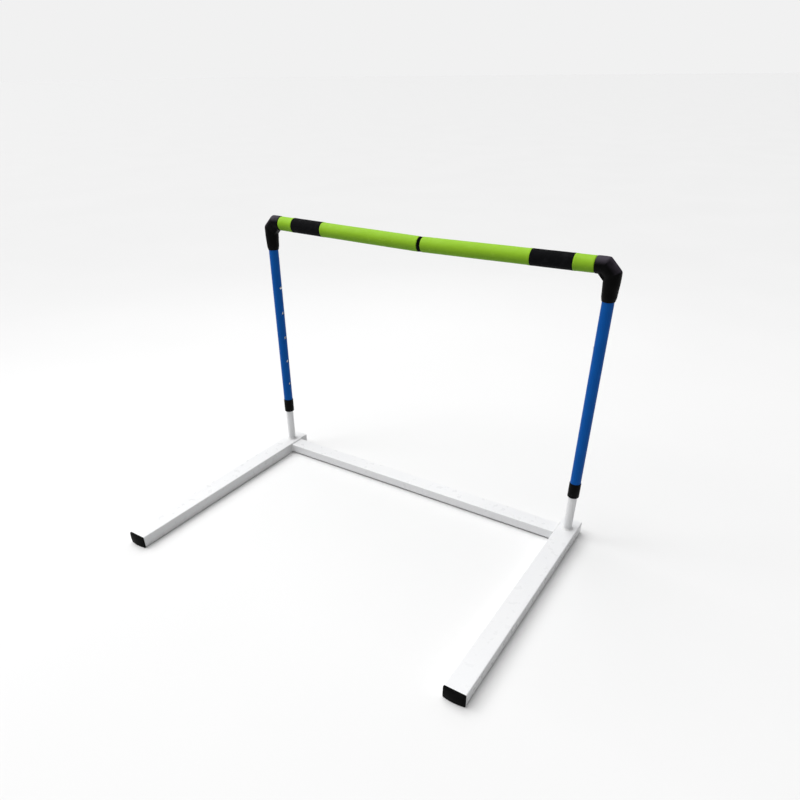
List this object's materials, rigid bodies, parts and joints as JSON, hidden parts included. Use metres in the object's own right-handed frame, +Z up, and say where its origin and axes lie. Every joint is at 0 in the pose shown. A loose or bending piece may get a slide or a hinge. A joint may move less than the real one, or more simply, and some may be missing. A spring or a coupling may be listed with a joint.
{
  "type": "training hurdle",
  "caption": "Training hurdle with a welded base, sliding posts set by snap buttons, and a foam-covered bar split in the middle so that each half swings open.",
  "frame": {"origin": "centre of the base's outline on the floor", "axes": "+X along the bar to the right post, +Y towards the rear, where the posts and the cross tube stand, +Z up; the legs run forward from the posts along -Y"},
  "size_m": [1.001, 0.688, 0.7279],
  "materials": {
    "white_steel": "gloss white powder coat",
    "blue_steel": "satin blue powder coat",
    "spring_steel": "bright zinc plate",
    "plug_plastic": "moulded black polyethylene",
    "collar_plastic": "moulded black plastic",
    "bush_nylon": "natural nylon",
    "pipe_plastic": "extruded pale plastic",
    "elbow_rubber": "moulded black, fine matte grain",
    "cap_rubber": "black rubber",
    "green_foam": "closed-cell foam with a smooth skin",
    "black_foam": "matte black foam wrap"
  },
  "bodies": {
    "base": {"cross_tube": "white_steel", "left_leg_tube": "white_steel", "left_front_plug": "plug_plastic", "left_rear_plate": "white_steel", "left_stub_tube": "white_steel", "left_stub_weld": "white_steel", "left_cross_weld": "white_steel", "right_leg_tube": "white_steel", "right_front_plug": "plug_plastic", "right_rear_plate": "white_steel", "right_stub_tube": "white_steel", "right_stub_weld": "white_steel", "right_cross_weld": "white_steel"},
    "left_button": {"left_snap_button": "spring_steel"},
    "left_upright": {"left_upright_tube": "blue_steel", "left_collar": "collar_plastic", "left_top_bush": "bush_nylon"},
    "left_arm": {"left_thrust_washer": "bush_nylon", "left_pivot_pin": "spring_steel", "left_retaining_clip": "spring_steel", "left_elbow": "elbow_rubber", "left_bar_pipe": "pipe_plastic", "left_foam_sleeve": "green_foam", "left_foam_wrap": "black_foam", "left_bar_cap": "cap_rubber"},
    "right_button": {"right_snap_button": "spring_steel"},
    "right_upright": {"right_upright_tube": "blue_steel", "right_collar": "collar_plastic", "right_top_bush": "bush_nylon"},
    "right_arm": {"right_thrust_washer": "bush_nylon", "right_pivot_pin": "spring_steel", "right_retaining_clip": "spring_steel", "right_elbow": "elbow_rubber", "right_bar_pipe": "pipe_plastic", "right_foam_sleeve": "green_foam", "right_foam_wrap": "black_foam", "right_bar_cap": "cap_rubber"}
  },
  "joints": [
    {"name": "left_height", "type": "slide", "parent": "base", "child": "left_upright", "axis": [0, 0, 1], "range_m": [0, 0.3]},
    {"name": "left_swing", "type": "hinge", "parent": "left_upright", "child": "left_arm", "pos_m": [-0.475, 0.301, 0.653], "axis": [0, 0, 1], "range_deg": [-90, 90]},
    {"name": "left_button_press", "type": "slide", "parent": "base", "child": "left_button", "axis": [-1, 0, 0], "range_m": [0, 0.0045], "stiffness_N_per_m": 2500, "springref_m": -0.002, "deforming": ["left_snap_button"]},
    {"name": "right_height", "type": "slide", "parent": "base", "child": "right_upright", "axis": [0, 0, 1], "range_m": [0, 0.3]},
    {"name": "right_swing", "type": "hinge", "parent": "right_upright", "child": "right_arm", "pos_m": [0.475, 0.301, 0.653], "axis": [0, 0, -1], "range_deg": [-90, 90]},
    {"name": "right_button_press", "type": "slide", "parent": "base", "child": "right_button", "axis": [1, 0, 0], "range_m": [0, 0.0045], "stiffness_N_per_m": 2500, "springref_m": -0.002, "deforming": ["right_snap_button"]}
  ]
}
